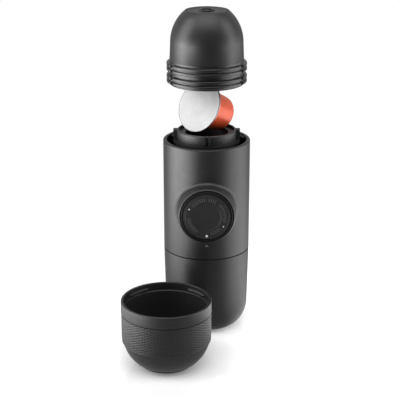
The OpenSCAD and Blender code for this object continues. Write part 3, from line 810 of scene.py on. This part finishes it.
def spring():
    """Return spring: a round wire coil that stretches between the flange and the thrust disc."""
    lo, hi = low("return_spring"), high("return_spring")
    wire, turns, steps = 0.6, 8, 40
    radius = hi.x - wire
    start, end = hi.y - wire, lo.y + wire
    path = []
    for i in range(turns * steps + 1):
        a = 2 * math.pi * i / steps
        y = start + (end - start) * i / (turns * steps)
        path.append((radius * math.cos(a), y, KNOB_Z + radius * math.sin(a)))
    coil = tube("spring_coil", path, wire, materials["steel"], 12)
    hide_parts("return_spring")
    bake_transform(coil)


collar_fillet()
shell_mark()
knob_disc()
knob_dots()
knob_ticks()
outlet_dome()
capsule()
foil_lid()
flange_edge()
tank()
cup()
spring()


# ---------------------------------------------------------------- light, floor and background


def softbox(name, target, azimuth, elevation, distance, width, height, radiance):
    """Area lamp aimed at a target; azimuth 0 is in front (-Y), positive to the right."""
    lamp = bpy.data.lights.new(name, "AREA")
    lamp.shape = "RECTANGLE"
    lamp.size = width
    lamp.size_y = height
    lamp.energy = radiance * width * height * math.pi
    obj = bpy.data.objects.new(name, lamp)
    bpy.context.scene.collection.objects.link(obj)
    a, e = math.radians(azimuth), math.radians(elevation)
    away = Vector((math.sin(a) * math.cos(e), -math.cos(a) * math.cos(e), math.sin(e)))
    obj.location = Vector(target) * MM + away * distance
    obj.rotation_euler = (-away).to_track_quat("-Z", "Y").to_euler()


softbox("left_strip", (0, 0, 110), -81, 24, 1.1, 0.6, 1.35, 4.7)
softbox("right_strip", (0, 0, 110), 83, 24, 1.2, 0.62, 1.35, 3.0)
softbox("overhead", (0, -30, 130), 0, 72, 1.3, 1.4, 1.0, 2.6)


def room():
    """White for the camera. Light and reflections find it dim in front, paler behind and above."""
    world = bpy.data.worlds.new("studio")
    bpy.context.scene.world = world
    world.use_nodes = True
    world.node_tree.nodes.clear()
    t = Tree(world)
    _, y, z = t.split(t.coordinates["Generated"])
    camera_ray = t.add("LightPath").outputs["Is Camera Ray"]
    dim = t.math("MULTIPLY_ADD", z, 0.24, t.ramp(y, -0.2, 0.8, 0.08, 0.44))
    light = t.add("Background")
    light.inputs["Color"].default_value = (1, 1, 1, 1)
    t.link(t.math("MAXIMUM", dim, camera_ray), light.inputs["Strength"])
    t.link(light.outputs["Background"], t.add("OutputWorld").inputs["Surface"])


# Painted highlights: fields of the floor under the strips that glow, though they are no lamp, and
# that only reflections show.
# They paint the bright bands on the sides of the shell. Columns: azimuth in radians, strength, and
# the distances between which they rise.
PAINTED_GLOW_FIELDS = ((-1.25, 8.0, 0.05, 0.4), (1.5, 2.9, -0.08, 0.2))


def floor():
    """Pale floor with a soft gloss. For the camera, painted light lifts it where the object's
    shadow falls: most at the right and left of the cup, a little everywhere, and less at the front.
    Far from the object it is plain white. Reflections see only painted light from it: dim in front,
    with glowing fields at both sides that paint the highlights on the shell.
    """
    s = Shader("floor")
    s.colour(s.noise(30, 2), (0.9, 0.9, 0.9), (0.92, 0.92, 0.92))
    s.set(Roughness=0.14, IOR=1.95)
    rays = s.add("LightPath").outputs
    reach = s.add("VectorMath")
    reach.operation = "LENGTH"
    s.link(s.place, reach.inputs[0])
    distance = reach.outputs["Value"]
    x, y, _ = s.split(s.place)

    # Painted light: emission that only the camera sees. It lifts the floor's shadow at the right
    # and left of the cup, and a little everywhere except the front.
    painted_lift = s.math("ADD", s.ramp(x, -0.02, 0.035, 0.0, 0.3), s.ramp(x, -0.072, -0.05, 0.35, 0.0))
    painted_lift = s.math("ADD", painted_lift, s.ramp(y, -0.115, -0.09, 0.02, 0.1))
    floor_with_painted_lift = s.add("AddShader")
    s.link(s.bsdf.outputs["BSDF"], floor_with_painted_lift.inputs[0])
    s.link(s.emission(s.math("MULTIPLY", rays["Is Camera Ray"], painted_lift)), floor_with_painted_lift.inputs[1])
    fade = s.math("MULTIPLY", s.ramp(distance, 0.15, 0.33, 0.0, 1.0), rays["Is Camera Ray"])
    seen = s.mix(fade, floor_with_painted_lift.outputs["Shader"], s.emission(rays["Is Camera Ray"]))

    # Painted reflection: the floor's glow is brighter near the object and behind it, dim far away
    # and in front, with bright fields at both sides.
    azimuth = s.math("ARCTAN2", x, s.math("MULTIPLY", y, -1.0))
    painted_glow = s.math("ADD", s.ramp(distance, 0.18, 0.42, 0.42, 0.1), s.ramp(y, 0.0, 0.25, 0.0, 0.2))
    for middle, strength, near, far in PAINTED_GLOW_FIELDS:
        off = s.math("ABSOLUTE", s.math("SUBTRACT", azimuth, middle))
        wide = s.ramp(off, 0.95, 0.15, 0.0, strength)
        painted_glow = s.math("ADD", painted_glow, s.math("MULTIPLY", wide, s.ramp(distance, near, far, 0.0, 1.0)))
    # Reflections see only this painted glow, never the floor's own shading.
    whole = s.mix(rays["Is Glossy Ray"], seen, s.emission(painted_glow))
    s.link(whole, s.nodes["Material Output"].inputs["Surface"])
    s.material.cycles.emission_sampling = "NONE"

    half, drop = 4000, -0.02
    points = [(-half, -half, drop), (half, -half, drop), (half, half, drop), (-half, half, drop)]
    make("floor", points, [(0, 1, 2, 3)], s.material)


room()
floor()

bpy.context.scene.view_settings.view_transform = "Standard"
